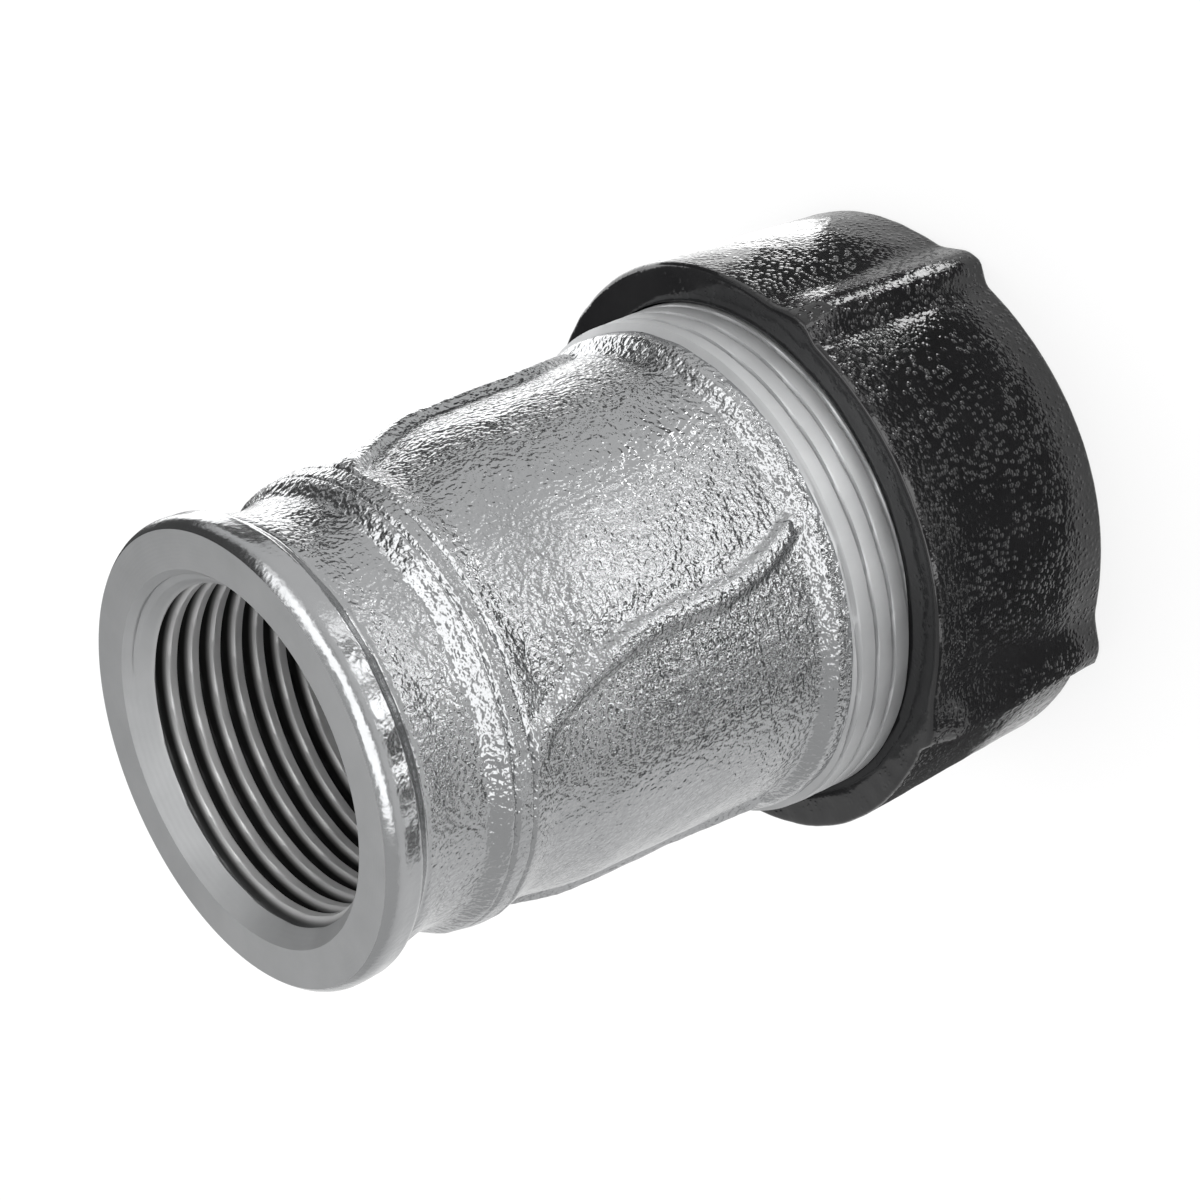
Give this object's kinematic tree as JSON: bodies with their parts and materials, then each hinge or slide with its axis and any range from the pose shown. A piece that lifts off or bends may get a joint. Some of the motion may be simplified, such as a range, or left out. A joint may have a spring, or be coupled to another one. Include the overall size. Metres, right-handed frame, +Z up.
{
  "type": "pipe clamp coupling",
  "caption": "Screw-tightened coupling that clamps and seals a plain steel pipe end in a ribbed cast body with a female pipe thread.",
  "frame": {"origin": "centre of the nut's pipe entry face, on the axis, which is the face that the coupling stands on", "axes": "+Z up along the axis towards the female thread; +X through one of the nut's four lugs"},
  "size_m": [0.0568, 0.0568, 0.0775],
  "materials": {
    "galvanised_casting": "bright hot-dip galvanised casting, machined end face and threads",
    "black_casting": "black coated casting, satin and finely pitted",
    "grip_steel": "hardened steel, zinc plated",
    "ring_steel": "zinc plated steel",
    "seal_rubber": "matt black rubber"
  },
  "bodies": {
    "fitting_body": {"fitting_body": "galvanised_casting"},
    "clamp_rings": {"grip_ring": "grip_steel", "pressure_ring": "ring_steel", "sealing_ring": "seal_rubber"},
    "clamping_nut": {"clamping_nut": "black_casting"}
  },
  "joints": [
    {"name": "ring_travel", "type": "slide", "parent": "fitting_body", "child": "clamp_rings", "axis": [0, 0, 1], "range_m": [-0.006, 0.002]},
    {"name": "nut_turn", "type": "hinge", "parent": "clamp_rings", "child": "clamping_nut", "pos_m": [0, 0, 0.011], "axis": [0, 0, 1], "range_deg": [-1080, 360]}
  ],
  "couplings": [
    {"joint": "ring_travel", "follows": "nut_turn", "m_per_rad": 0.00031831}
  ]
}
